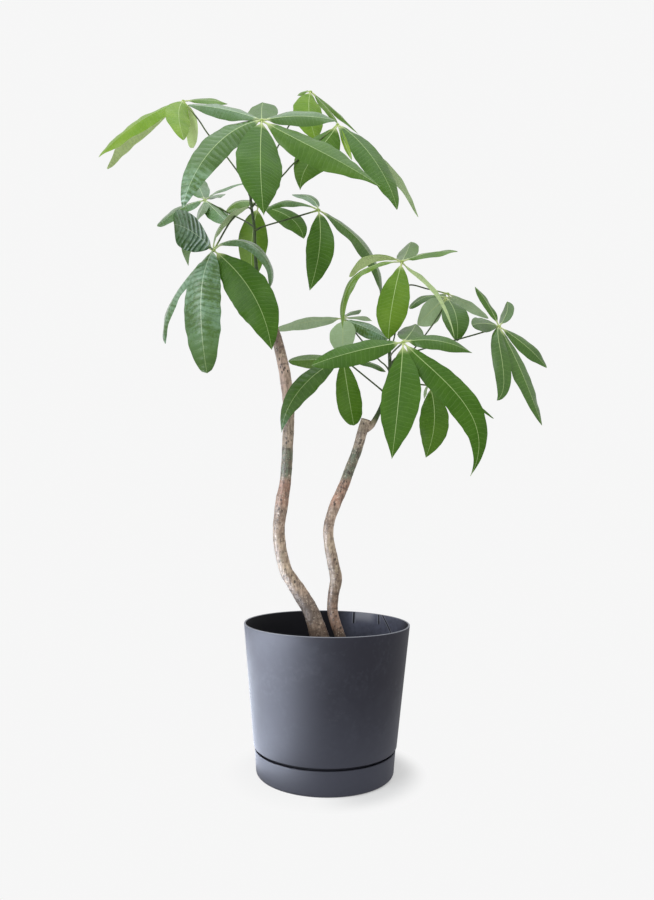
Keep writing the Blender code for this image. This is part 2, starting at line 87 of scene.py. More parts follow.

# A leaflet is two or three evenly spaced points of its midrib, the last one its tip, measured from the hub,
# then its width, how far the blade is rolled about its midrib in degrees, its gloss and how the tip closes.
# gloss is the weight of the clear coat: above 0.82 the blade also gets a painted pale sheen, and above 1
# painted highlights on its ridges and painted shade in its furrows. fresh is 1 on a young yellow-green blade,
# quilt is how far the blade stands up between its side veins, and tip_gloss is what gloss gains towards the
# tip.
Leaflet = namedtuple(
    "Leaflet", "midrib width roll gloss tip fresh quilt tip_gloss", defaults=(POINTED, 0.0, 0.35, 0.0)
)
Leaf = namedtuple("Leaf", "name stalk leaflets")
LEAVES = (
    Leaf("leaf_crown_front", ((-131, 0, 876), (-125, -32, 886), (-114, -83, 913), (-102, -135, 931)), (
        Leaflet(((-50, -6, 12), (-103, -13, 14)), 35, 60, 0.88),
        Leaflet(((-40, -23, -31), (-73, -53, -90), (-91, -75, -161)), 42, 50, 0.65, quilt=0.9, tip_gloss=0.5),
        Leaflet(((6, -63, -96), (15, -94, -178)), 63, 10, 0.08, DRIP),
        Leaflet(((59, -13, -38), (112, -19, -69), (165, -25, -105)), 54, -62, 0.3, DRIP, fresh=0.1),
        Leaflet(((52, 6, 11), (106, 13, 9)), 34, -65, 0.8),
        Leaflet(((-6, 50, 44), (-9, 94, 84)), 48, 10, 0.3, BLUNT),
    )),
    Leaf("leaf_crown_left", (
        (-132, 0, 884), (-149, 10, 920), (-176, 22, 961), (-209, 37, 1006),
        (-229, 53, 1040), (-259, 70, 1082),
    ), (
        Leaflet(((-69, -20, -50), (-132, -26, -116)), 46, 50, 0.25, fresh=0.85),
        Leaflet(((-86, 32, -33), (-142, 52, -97)), 49, 15, 0.2, fresh=0.9),
        Leaflet(((4, -49, -52), (23, -91, -118)), 42, 15, 0.2, fresh=0.75),
        Leaflet(((17, 0, -43), (22, -13, -90)), 31, 85, 0.2, BLUNT, fresh=0.8),
        Leaflet(((41, 13, 10), (72, 26, 12)), 23, -55, 0.5, fresh=0.3),
    )),
    Leaf("leaf_crown_top", (
        (-131, 0, 880), (-117, 26, 929), (-92, 55, 999), (-76, 84, 1052), (-42, 115, 1130),
    ), (
        Leaflet(((-1, -42, -62), (12, -60, -122)), 54, 5, 0.0, fresh=0.5),
        Leaflet(((28, 6, -26), (48, 12, -52)), 20, -55, 0.5, fresh=0.3),
        Leaflet(((42, 24, -19), (88, 36, -58)), 18, -60, 0.5, fresh=0.2),
        Leaflet(((-15, 18, 11), (-25, 36, 16)), 17, 45, 0.5, fresh=0.5),
    )),
    Leaf("leaf_crown_right", ((-129, 0, 866), (-83, 8, 920), (-60, 18, 952), (6, 30, 1021)), (
        Leaflet(((-24, -10, -41), (-48, -18, -80), (-59, -25, -124)), 64, 60, 0.2, DRIP, fresh=0.12),
        Leaflet(((11, -18, -38), (22, -36, -78)), 11, -70, 0.5, fresh=0.95),
        Leaflet(((40, -22, -46), (74, -45, -109), (93, -62, -171)), 50, -35, 0.25, TAPERED),
        Leaflet(((48, 19, -27), (102, 30, -77), (137, 25, -145)), 22, 14, 0.2, fresh=0.3),
    )),
    Leaf("leaf_middle_left", ((-124, 0, 832), (-142, 19, 850), (-173, 46, 875), (-219, 80, 911)), (
        Leaflet(((28, 24, 32), (62, 48, 55)), 17, -25, 0.9),
        Leaflet(((9, 36, 25), (24, 72, 45)), 21, -10, 0.9),
        Leaflet(((23, -30, -30), (46, -48, -58)), 36, -30, 0.9, BLUNT, quilt=0.6),
        Leaflet(((0, -30, -32), (-1, -54, -58)), 27, -35, 0.9),
        Leaflet(((-36, -18, -23), (-73, -24, -57)), 34, 45, 0.9, BLUNT),
        Leaflet(((-16, 30, 38), (-32, 60, 78)), 37, 15, 0.9, BLUNT, quilt=0.6),
    )),
    Leaf("leaf_middle_front", ((-129, 0, 862), (-135, -25, 852), (-151, -68, 814), (-168, -115, 750)), (
        Leaflet(((-22, -36, 11), (-41, -72, 8)), 52, 95, 1.25, BLUNT, quilt=2.0, tip_gloss=-0.4),
        Leaflet(((-36, 0, 9), (-35, 0, -23)), 22, -25, 1.0, quilt=1.2),
        Leaflet(((-38, 0, -43), (-62, 0, -89), (-64, 0, -135)), 28, 35, 1.0),
        Leaflet(((-9, -36, -76), (4, -48, -185)), 52, -15, 1.05, BLUNT, quilt=1.2, tip_gloss=-0.25),
        Leaflet(((60, -36, -72), (89, -48, -152)), 59, -55, 0.1, TAPERED),
        Leaflet(((39, 0, 14), (73, 6, -8), (80, 12, -48)), 30, -45, 0.9),
        Leaflet(((4, 36, 54), (41, 60, 92)), 26, 40, 0.8, fresh=0.3),
    )),
    Leaf("leaf_stem_tip", ((-131, 0, 872), (-129, 27, 882), (-125, 60, 893)), (
        Leaflet(((54, -15, -25), (78, -30, -66)), 37, -55, 0.15, fresh=0.05),
        Leaflet(((-11, 15, -56), (-8, 22, -122)), 51, 150, 0.6, fresh=0.4),
        Leaflet(((-31, 0, 7), (-56, 0, -14)), 38, 50, 0.7, fresh=0.2),
    )),
    Leaf("leaf_middle_right", ((-123, 0, 827), (-107, -10, 830), (-75, -22, 835), (-22, -40, 844)), (
        Leaflet(((-46, -6, 10), (-82, -12, -9)), 25, 45, 0.35, quilt=0.5),
        Leaflet(((-14, 19, 28), (-43, 38, 42)), 22, 30, 0.9, BLUNT, quilt=0.5),
        Leaflet(((3, -31, -71), (-10, -50, -142)), 42, 5, 0.1, TAPERED),
        Leaflet(((48, 18, -25), (86, 32, -66), (98, 42, -121)), 37, -60, 0.7),
    )),
    Leaf("leaf_branch_front", ((92, -4, 622), (91, -56, 620), (98, -140, 616)), (
        Leaflet(((-11, -48, -91), (-20, -60, -164)), 54, -5, 0.1, DRIP),
        Leaflet(((48, -30, -55), (86, -50, -114), (79, -60, -184)), 45, -46, 0.05, DRIP),
        Leaflet(((46, -6, 1), (94, 0, -13)), 30, -55, 0.5, TAPERED),
        Leaflet(((-64, -12, -16), (-124, -12, -36)), 38, 62, 0.3, ROUND),
        Leaflet(((17, 48, 27), (29, 96, 51)), 38, -15, 0.3),
    )),
    Leaf("leaf_branch_top", ((91, -4, 636), (91, -15, 658), (97, -30, 708), (105, -50, 761)), (
        Leaflet(((-18, -50, -77), (-25, -62, -134)), 46, 10, 0.0, fresh=0.35),
        Leaflet(((44, 6, 17), (86, 12, 21)), 25, -40, 0.5, fresh=0.2),
        Leaflet(((12, 44, 31), (24, 88, 66)), 34, 5, 0.5, BLUNT, fresh=0.1),
        Leaflet(((-45, 12, 10), (-79, 12, -20)), 20, -20, 0.5, BLUNT, fresh=0.9),
        Leaflet(((-71, 0, -26), (-88, 0, -105)), 17, 45, 0.85, ROUND, fresh=0.6),
        Leaflet(((29, 8, -23), (59, 14, -52), (80, 8, -112)), 11, 110, 0.5, fresh=0.5),
    )),
    Leaf("leaf_branch_inner", (
        (93, -3, 594), (109, 14, 614), (133, 35, 646), (156, 58, 677), (186, 88, 724), (199, 110, 756),
    ), (
        Leaflet(((-36, -12, -3), (-66, -24, -27)), 18, 45, 0.7, BLUNT),
        Leaflet(((-32, -24, -33), (-53, -36, -59)), 40, -85, 0.7),
        Leaflet(((8, -48, -44), (8, -60, -91)), 44, -10, 0.5, quilt=0.6),
        Leaflet(((9, -19, -34), (14, -24, -70)), 14, 15, 0.5, fresh=0.7),
    )),
    Leaf("leaf_branch_back", (
        (91, -4, 630), (101, 17, 663), (112, 41, 722), (127, 65, 762), (168, 107, 770), (209, 150, 776),
    ), (
        Leaflet(((38, 6, -18), (76, 13, -40)), 30, 10, 0.5),
        Leaflet(((18, 39, -26), (23, 52, -73)), 36, 0, 0.5),
        Leaflet(((-20, 39, -3), (-32, 65, -38)), 36, 0, 0.5),
    )),
    Leaf("leaf_branch_right", (
        (92, -4, 612), (106, 4, 628), (145, 16, 643), (208, 34, 665), (253, 45, 681), (277, 55, 692),
    ), (
        Leaflet(((-16, 13, 42), (-34, 26, 75)), 21, 25, 0.4),
        Leaflet(((19, 26, 29), (28, 52, 58)), 24, 10, 0.7, ROUND),
        Leaflet(((-6, -26, -38), (-4, -44, -93), (-17, -52, -131)), 28, 20, 0.8),
        Leaflet(((22, -18, -58), (40, -31, -113), (57, -39, -168)), 32, -30, 0.8),
        Leaflet(((46, 0, -34), (78, 0, -68)), 30, -65, 0.7),
        Leaflet(((-31, -33, -4), (-58, -65, -16)), 28, 65, 0.7, ROUND),
    )),
    Leaf("leaf_branch_left", (
        (92, -4, 604), (85, 13, 617), (77, 28, 628), (49, 53, 667), (31, 73, 696), (20, 90, 711),
    ), (
        Leaflet(((-57, -6, -7), (-116, -12, -24)), 34, -20, 0.5, ROUND),
        Leaflet(((0, -30, -37), (0, -36, -74)), 44, 165, 0.5),
        Leaflet(((43, 0, -17), (77, 0, -34)), 34, -60, 1.0, fresh=0.15),
        Leaflet(((16, 24, 18), (33, 48, 30)), 19, -10, 0.5),
        Leaflet(((27, 18, 8), (52, 36, 7)), 17, 5, 0.5),
    )),
    Leaf("leaf_branch_low_left", ((86, -2, 568), (76, 0, 577), (32, -2, 612), (19, 0, 623)), (
        Leaflet(((-44, -18, -31), (-77, -31, -74), (-91, -39, -122)), 37, 52, 0.5, DRIP, quilt=1.1,
                tip_gloss=0.55),
        Leaflet(((8, -32, -59), (17, -39, -110)), 38, -25, 0.05, BLUNT, fresh=0.1),
        Leaflet(((-46, 0, -3), (-85, 0, -5)), 29, 57, 0.8, ROUND, fresh=0.25),
        Leaflet(((40, 6, -5), (68, 13, -18)), 22, -45, 0.5),
    )),
    Leaf("leaf_branch_low_right", ((89, -2, 579), (105, 10, 583), (132, 27, 589), (162, 45, 590)), (
        Leaflet(((1, -39, -64), (-14, -52, -121)), 46, 10, 0.1, TAPERED, fresh=0.1),
        Leaflet(((54, 0, -16), (103, 0, -52)), 25, -40, 0.5),
        Leaflet(((-11, -19, -12), (-15, -39, -28)), 14, -95, 0.5),
    )),
)

# Leaf make-up
BARE_STALK = 7.0 * MM  # between the hub and the blade
BARE_STALK_HALF = 1.2 * MM
BLADE_HALF_THICKNESS = 0.24 * MM
BLADE_LEAST_HALF_WIDTH = 0.2 * MM
BLADE_ROW_GAP = 2.4 * MM
BLADE_LEAST_ROWS = 14
BLADE_COLUMNS = 16
BLADE_FOLD = math.tan(math.radians(-8))  # how far the margins rise above the midrib
RIB_SPREAD = 1.1 * MM
RIB_RISE_ABOVE = 0.25 * MM
RIB_RISE_BELOW = 0.75 * MM
VEIN_GAP_LEAST = 5.2 * MM
VEIN_GAP_MOST = 8.0 * MM
VEIN_GAP_SHARE = 0.058  # of the blade's length
VEIN_SWEEP = 0.28  # how far the side veins lean towards the tip
VEIN_WANDER = 0.3
SIDE_VEIN_WIDTH = 0.12  # of the gap between side veins
NETTING_SCALE = 420.0
WELD_DISTANCE = 0.0005 * MM
HUB_RADIUS = 3.0 * MM
HUB_SQUASH = 0.8
STALK_RADIUS = 1.25 * MM
STALK_ROW_GAP = 3.0 * MM
STALK_SIDES = 10
SEEDS_PER_LEAF = 10

# Bark
STEM_ROW_GAP = 2.4 * MM
SCAR_SPREAD = 1.1 * MM
SCAR_REACH = 6 * MM
SCAR_SWELL = 0.035
BARK_LUMPS = ((0.06, 26 * MM), (0.045, 9 * MM), (0.02, 4 * MM))  # strength and scale of each noise

# Turned pieces
TURN_STEPS = 144
RIM_RADIUS = 125.0 * MM
RIM_HEIGHT = 217.3 * MM
POT_WALL = 2.6 * MM
POT_FLOOR = 3.0 * MM
POT_LIP = 0.8 * MM
FOOT_RADIUS = 99.6 * MM
SHOULDER_RADIUS = 106.2 * MM
SHOULDER_HEIGHT = 40.0 * MM
WALL_TAPER = (RIM_RADIUS - SHOULDER_RADIUS) / (RIM_HEIGHT - SHOULDER_HEIGHT)
SAUCER_WALL = 2.4 * MM
SAUCER_FLOOR = 3.0 * MM
SAUCER_LIP = 0.7 * MM
SAUCER_BASE_RADIUS = 102.0 * MM

# Creases of the pot's inner wall, painted as shade with a glint beside each: the bearing of each crease in
# degrees from +Y towards +X, the height where it starts and how far it leans (radians per metre of height)
CREASES = ((21.9, 0.197, 0.0), (44.0, 0.200, -1.0), (47.5, 0.186, -8.0))
INNER_MARKS_FROM = 0.150

# Soil: its crown in the middle, the strength and scale of each noise, and what lies on it (piece name,
# count, least and most size in millimetres)
SOIL_SEED = 4
SOIL_RINGS = 44
SOIL_CROWN = 3.0
SOIL_LUMPS = ((2.2, 16 * MM), (1.4, 6 * MM), (0.8, 3 * MM))
SOIL_BITS = (("soil_chips", 420, 1.2, 3.4), ("soil_perlite", 60, 0.9, 1.9))

# Stage
BACKDROP = (0.925, 0.925, 0.925)
FLOOR_TONE = (0.80, 0.80, 0.80)
FLOOR_RADIUS = 6.0
FLOOR_PLAIN_FROM, FLOOR_PLAIN_TO = 0.112, 0.155
WORLD_LIGHT = 0.70
LENS, SENSOR = 28.0, 36.0
CAMERA_PLACE = (-0.0037, -1.078, 0.389)
CAMERA_TILT, CAMERA_ROLL = 94.77, 0.83

# shines and matte say whether a lamp shows in reflections and lights matt surfaces. The two low lamps shine
# on the low pieces only, because they would whiten leaves that hang over them.
Lamp = namedtuple(
    "Lamp",
    "name place target size power tint shines matte spread low_only",
    defaults=(True, True, 180, False),
)
LOW = {"matte": False, "low_only": True}
LOW_NARROW = {"spread": 90, **LOW}
LAMPS = (
    Lamp("card_left", (-0.46, 0, 0.004), (-0.46, 0, 1), (0.68, 1.2), 20.0, (0.80, 0.87, 1.0), **LOW),
    Lamp("strip_left", (-0.95, -0.3, 0.11), (0, 0, 0.11), (1.5, 0.34), 22.0, (0.82, 0.88, 1.0), **LOW_NARROW),
    Lamp("softbox_left", (-0.98, -1.2, 1.6), (-0.05, 0, 0.65), (0.9, 1.1), 12.0, (0.92, 0.97, 1.0)),
    Lamp("shine_top", (0.0, -0.2, 2.4), (0, -0.2, 0), (1.5, 1.5), 8.0, (0.82, 0.94, 1.0), matte=False),
    Lamp("softbox_top", (0.3, -0.8, 2.7), (0, 0, 0.6), (1.0, 1.0), 17.0, (1.0, 0.99, 0.97), shines=False),
)
LOW_PIECES = ("pot_shell", "saucer_tray", "trunk_tall_bark", "trunk_short_bark")


# -------- shader building blocks


class Signal:
    """An output of a shader node. Arithmetic on it adds Math nodes to the same tree."""

    def __init__(self, tree, socket):
        self.tree = tree
        self.socket = socket

    def __add__(self, other):
        return maths("ADD", self, other)

    def __sub__(self, other):
        return maths("SUBTRACT", self, other)

    def __rsub__(self, other):
        return maths("SUBTRACT", other, self)

    def __mul__(self, other):
        return maths("MULTIPLY", self, other)

    def __truediv__(self, other):
        return maths("DIVIDE", self, other)

    def __abs__(self):
        return maths("ABSOLUTE", self)

    def fade(self, start, end):
        """0 before start, 1 after end, smooth in between."""
        sockets = {"Value": self, "From Min": start, "From Max": end}
        return put(self.tree, "MapRange", sockets, interpolation_type="SMOOTHSTEP")

    def band(self, start, full, ebb, end):
        """1 between full and ebb, fading to 0 at start and at end."""
        return self.fade(start, full) - self.fade(ebb, end)

    def spread(self, low, high):
        """low where the signal is 0 and high where it is 1."""
        return put(self.tree, "MapRange", {"Value": self, "To Min": low, "To Max": high})

    def split(self):
        """The three parts of a vector."""
        made = self.tree.nodes.new("ShaderNodeSeparateXYZ")
        fill(self.tree, made.inputs[0], self)
        return [Signal(self.tree, socket) for socket in made.outputs]


def fill(tree, socket, value):
    """Links a signal to a socket, or sets the socket's own value. A colour is a (red, green, blue) triple."""
    if isinstance(value, Signal):
        tree.links.new(value.socket, socket)
    elif socket.type == "RGBA":
        socket.default_value = (*value, 1)
    else:
        socket.default_value = value


def put(tree, kind, sockets=None, output=0, **settings):
    """One output of a new shader node with its settings and sockets filled in."""
    made = tree.nodes.new("ShaderNode" + kind)
    for key, value in settings.items():
        setattr(made, key, value)
    for key, value in (sockets or {}).items():
        fill(tree, made.inputs[key], value)
    return Signal(tree, made.outputs[output])


def maths(operation, *values):
    tree = next(value.tree for value in values if isinstance(value, Signal))
    return put(tree, "Math", dict(enumerate(values)), operation=operation)


def own_place(tree):
    """Where the shaded point is in the frame, in metres."""
    return put(tree, "TexCoord", output="Object")


def attribute(tree, name):
    """The parts of a vector that the mesh stores at each vertex."""
    return put(tree, "Attribute", output="Vector", attribute_name=name).split()


def seen_directly(tree):
    """1 where the camera sees a surface itself, in a reflection or through something."""
    rays = tree.nodes.new("ShaderNodeLightPath").outputs
    camera, glossy, through = [
        Signal(tree, rays[f"Is {kind} Ray"]) for kind in ("Camera", "Glossy", "Transmission")
    ]
    return maths("MAXIMUM", maths("MAXIMUM", camera, glossy), through)


def set_outputs(tree, results):
    """Gives a shader group its outputs, from signals by label."""
    for label in results:
        tree.interface.new_socket(name=label, in_out="OUTPUT", socket_type="NodeSocketFloat")
    end = tree.nodes.new("NodeGroupOutput")
    for label, result in results.items():
        fill(tree, end.inputs[label], result)


def make_vein_group():
    """Masks of a blade's midrib, side veins, the ridges between them, fine netting and bare stalk."""
    tree = bpy.data.node_groups.new("leaf_veins", "ShaderNodeTree")
    from_midrib, ribs, edge = attribute(tree, "blade")
    bare = attribute(tree, "tone")[2]
    off_vein = abs(maths("FRACT", ribs + 0.5) - 0.5)
    side_veins = 1 - (off_vein / SIDE_VEIN_WIDTH).fade(0.3, 1)
    sockets = {"Vector": own_place(tree), "Scale": NETTING_SCALE}
    netting = put(tree, "TexVoronoi", sockets, output="Distance", feature="DISTANCE_TO_EDGE")
    results = {
        "Midrib": 1 - from_midrib.fade(0.55, 1.25),
        "Side Veins": side_veins * (1 - edge.fade(0.75, 1)),
        "Ridges": off_vein * 2,
        "Netting": netting.fade(0, 0.12),
        "Bare": bare,
    }
    set_outputs(tree, results)


def make_mottle_group():
    """Patches between 0 and 1 in two sizes, for colour and gloss that change over a surface."""
    tree = bpy.data.node_groups.new("mottle", "ShaderNodeTree")
    labels = ("Scale", "Fine", "Low", "High")
    for label in labels:
        tree.interface.new_socket(name=label, in_out="INPUT", socket_type="NodeSocketFloat")
    start = tree.nodes.new("NodeGroupInput")
    scale, fine, low, high = [Signal(tree, start.outputs[label]) for label in labels]
    place = own_place(tree)
    broad = put(tree, "TexNoise", {"Vector": place, "Scale": scale, "Detail": 3})
    small = put(tree, "TexNoise", {"Vector": place, "Scale": scale * 7, "Detail": 2})
    both = put(tree, "Mix", {0: fine, 2: broad, 3: small})
    set_outputs(tree, {"Patches": both.fade(low, high)})


class Look:
    """A material that is being built: its tree, its Principled BSDF and its base colour so far."""

    def __init__(self, name):
        self.material = bpy.data.materials.new(name)
        self.material.use_nodes = True
        self.tree = self.material.node_tree
        self.shader = self.tree.nodes["Principled BSDF"]
        self.base = None

    def group(self, name, **values):
        """The outputs of a shared group by label."""
        made = self.tree.nodes.new("ShaderNodeGroup")
        made.node_tree = bpy.data.node_groups[name]
        for label, value in values.items():
            made.inputs[label].default_value = value
        return {socket.name: Signal(self.tree, socket) for socket in made.outputs}

    def mottle(self, scale, fine, low, high):
        """Patches between 0 and 1. fine is the share of small ones, low and high the noise's limits."""
        return self.group("mottle", Scale=scale, Fine=fine, Low=low, High=high)["Patches"]

    def noise(self, place, scale, detail=2, distortion=0):
        sockets = {"Vector": place, "Scale": scale, "Detail": detail, "Distortion": distortion}
        return put(self.tree, "TexNoise", sockets)

    def cells(self, place, scale):
        """Distance from the middle of the nearest of many scattered cells."""
        return put(self.tree, "TexVoronoi", {"Vector": place, "Scale": scale}, output="Distance")

    def stretch(self, place, scale, rotation=(0, 0, 0)):
        return put(self.tree, "Mapping", {"Vector": place, "Scale": scale, "Rotation": rotation})

    def blend(self, share, first, second):
        sockets = {0: share, 6: first, 7: second}
        return put(self.tree, "Mix", sockets, output=2, data_type="RGBA")

    def paint(self, share, tone):
        """Lays a colour over the base colour, fully where share is 1."""
        self.base = self.blend(share, self.base, tone)

    def set(self, label, value):
        fill(self.tree, self.shader.inputs[label], value)

    def finish(self, roughness, bumps=(), specular=0.5):
        """Links the base colour and stacks (height, strength, distance) bumps into the normal."""
        self.set("Base Color", self.base)
        self.set("Roughness", roughness)
        self.set("Specular IOR Level", specular)
        normal = None
        for height, strength, distance in bumps:
            sockets = {"Height": height, "Strength": strength, "Distance": distance}
            if normal:
                sockets["Normal"] = normal
            normal = put(self.tree, "Bump", sockets)
        if normal:
            self.set("Normal", normal)
        return self.material


# -------- materials


def leaf_upper_material():
    """Glossy green, pale veins; glossy blades carry a painted pale sheen, the glossiest painted furrow shade.
    """
    look = Look("leaf_upper")
    veins = look.group("leaf_veins")
    fresh, gloss, _ = attribute(look.tree, "tone")
    patches = look.mottle(28, 0.25, 0.35, 0.65)
    grown = look.blend(patches, (0.036, 0.104, 0.004), (0.052, 0.134, 0.008))
    young = look.blend(patches, (0.15, 0.285, 0.01), (0.215, 0.345, 0.028))
    look.base = look.blend(fresh, grown, young)
    look.paint((1 - veins["Netting"]) * 0.06, (0.16, 0.27, 0.07))
    look.paint(veins["Side Veins"] * 0.11, (0.22, 0.35, 0.1))
    look.paint(veins["Midrib"] * 0.85, (0.38, 0.5, 0.21))
    look.paint(veins["Bare"], (0.48, 0.56, 0.24))

    # Painted light: a pale sheen film on glossy blades, painted shade in the furrows between side veins and
    # painted highlights on the ridges, bluish on the glossiest.
    painted_sheen_share = gloss.fade(0.82, 1)
    painted_contrast = gloss.fade(1, 1.2)
    painted_sheen = painted_sheen_share * look.mottle(32, 0.4, 0.38, 0.6)
    look.paint(painted_sheen * 0.75, (0.2, 0.35, 0.22))
    broad_furrow_shade = painted_contrast * veins["Ridges"].fade(0.55, 0.1)
    thin_furrow_shade = painted_sheen_share * veins["Ridges"].fade(0.22, 0.06)
    furrow_shade = maths("MAXIMUM", broad_furrow_shade * 0.75, thin_furrow_shade * 0.45)
    look.paint(furrow_shade, (0.012, 0.045, 0.03))
    painted_ridge_highlight = painted_sheen_share * veins["Ridges"].fade(0.5, 0.9) * look.mottle(45, 0.4, 0.4, 0.56)
    ridge_highlight_tone = look.blend(painted_contrast, (0.44, 0.64, 0.54), (0.6, 0.72, 0.76))
    look.paint(painted_ridge_highlight * (painted_contrast * 0.7 + 0.12), ridge_highlight_tone)
    look.paint(painted_sheen_share * veins["Midrib"] * 0.7, (0.46, 0.6, 0.42))

    look.set("Coat Weight", maths("MINIMUM", gloss, 1) * (1 - furrow_shade * 0.9))
    look.set("Coat Roughness", 0.25)
    sheen = look.mottle(60, 0.5, 0.3, 0.7)
    bumps = (
        (veins["Side Veins"], 0.5, -0.4 * MM),
        (veins["Netting"], 0.25, 0.2 * MM),
        (look.noise(own_place(look.tree), 900), 0.12, 0.2 * MM),
    )
    return look.finish(sheen.spread(0.38, 0.5), bumps, specular=0.12)


def leaf_lower_material():
    """The matt, pale underside, with raised veins."""
    look = Look("leaf_lower")
    veins = look.group("leaf_veins")
    fresh = attribute(look.tree, "tone")[0]
    patches = look.mottle(40, 0.4, 0.35, 0.65)
    grown = look.blend(patches, (0.3, 0.43, 0.225), (0.365, 0.5, 0.29))
    young = look.blend(patches, (0.46, 0.6, 0.2), (0.58, 0.72, 0.31))
    look.base = look.blend(fresh, grown, young)
    look.paint((1 - veins["Netting"]) * 0.1, (0.33, 0.45, 0.22))
    look.paint(veins["Side Veins"] * 0.55, (0.4, 0.5, 0.26))
    look.paint(veins["Midrib"], (0.45, 0.54, 0.25))
    look.paint(veins["Bare"], (0.48, 0.56, 0.24))
    bumps = ((veins["Side Veins"], 0.5, 0.5 * MM), (veins["Netting"], 0.3, 0.2 * MM))
    return look.finish(0.58, bumps)


def leaf_stalk_material():
    """Petioles: dull green by the stem and pale yellow-green towards the hub, with a fine grain."""
    look = Look("leaf_stalk")
    along = attribute(look.tree, "tone")[2]
    patches = look.mottle(90, 0.5, 0.35, 0.65)
    dull = look.blend(patches, (0.022, 0.036, 0.012), (0.07, 0.105, 0.03))
    pale = look.blend(patches, (0.3, 0.42, 0.1), (0.42, 0.52, 0.18))
    look.base = look.blend(along.fade(0.8, 1), dull, pale)
    grain = look.noise(own_place(look.tree), 700)
    return look.finish(0.45, ((grain, 0.3, 0.3 * MM),), specular=0.2)


def bark_material():
    """Pinkish-brown bark with bands, pores, flecks and ring scars; green where the stem is young."""
    look = Look("bark")
    _, young, scar = attribute(look.tree, "stem")
    place = own_place(look.tree)
    along, _, height = place.split()
    broad = look.mottle(24, 0.5, 0.36, 0.64)
    look.base = look.blend(broad, (0.215, 0.145, 0.105), (0.64, 0.48, 0.37))
    greys = look.mottle(42, 0.5, 0.52, 0.66)
    look.paint(greys * 0.55, (0.25, 0.2, 0.16))

    rosy = height.band(0.385, 0.4, 0.425, 0.44) * look.mottle(50, 0.4, 0.35, 0.6)
    look.paint(rosy * 0.7, (0.56, 0.3, 0.215))
    mossy = height.band(0.43, 0.44, 0.47, 0.495) * look.mottle(60, 0.4, 0.32, 0.52)
    mossy = maths("MAXIMUM", mossy, look.mottle(14, 0.4, 0.56, 0.64) * 0.55)
    look.paint(mossy * 0.85, (0.12, 0.17, 0.11))
    creamy = height.band(0.255, 0.285, 0.335, 0.37) * look.mottle(36, 0.5, 0.38, 0.62)
    look.paint(creamy * 0.7, (0.64, 0.52, 0.37))
    # Darker towards the bottom, below about the height of the pot's rim.
    darker_low = 1 - height.fade(0.198, 0.225)
    look.paint(darker_low * 0.85, (0.085, 0.058, 0.043))
    # A darker band on the left, just above the rim's height.
    right_side = along.fade(-0.01, 0.012)
    darker_band_left = height.band(0.212, 0.226, 0.25, 0.264) * (1 - right_side)
    look.paint(darker_band_left * 0.65, (0.15, 0.125, 0.108))
    ruddy = height.band(0.2, 0.212, 0.24, 0.262) * right_side * look.mottle(48, 0.4, 0.3, 0.55)
    look.paint(ruddy * 0.75, (0.42, 0.25, 0.18))
    weathered = height.band(0.482, 0.496, 0.515, 0.545)
    look.paint(weathered * 0.5, (0.4, 0.34, 0.27))
    flushed = height.band(0.54, 0.56, 0.612, 0.632) * look.mottle(44, 0.4, 0.25, 0.5)
    look.paint(flushed * 0.85, (0.66, 0.47, 0.39))
    # Darker towards the top of the bark.
    darker_high = height.fade(0.622, 0.64)
    look.paint(darker_high * 0.6, (0.17, 0.115, 0.095))

    pore_cells = look.cells(look.stretch(place, (1, 1, 0.6)), 210)
    pores = (1 - pore_cells.fade(0.24, 0.44)) * look.mottle(40, 0.6, 0.45, 0.56)
    look.paint(pores * 0.9, (0.04, 0.03, 0.024))
    fleck_cells = look.cells(place, 290)
    flecks = (1 - fleck_cells.fade(0.2, 0.4)) * look.mottle(70, 0.5, 0.46, 0.56)
    look.paint(flecks * 0.8, (0.7, 0.59, 0.47))
    grain = look.noise(look.stretch(place, (1, 1, 0.16)), 300, detail=4)
    look.paint(grain.fade(0.42, 0.66) * 0.6, (0.1, 0.066, 0.046))
    look.paint(scar * 0.75, (0.065, 0.046, 0.036))
    look.paint(young, look.blend(broad, (0.018, 0.038, 0.008), (0.05, 0.08, 0.02)))
    bumps = ((grain, 0.8, 1 * MM), (pore_cells, 0.5, 0.8 * MM), (fleck_cells, 0.3, -0.5 * MM))
    return look.finish(grain.spread(0.36, 0.72), bumps, specular=0.32)


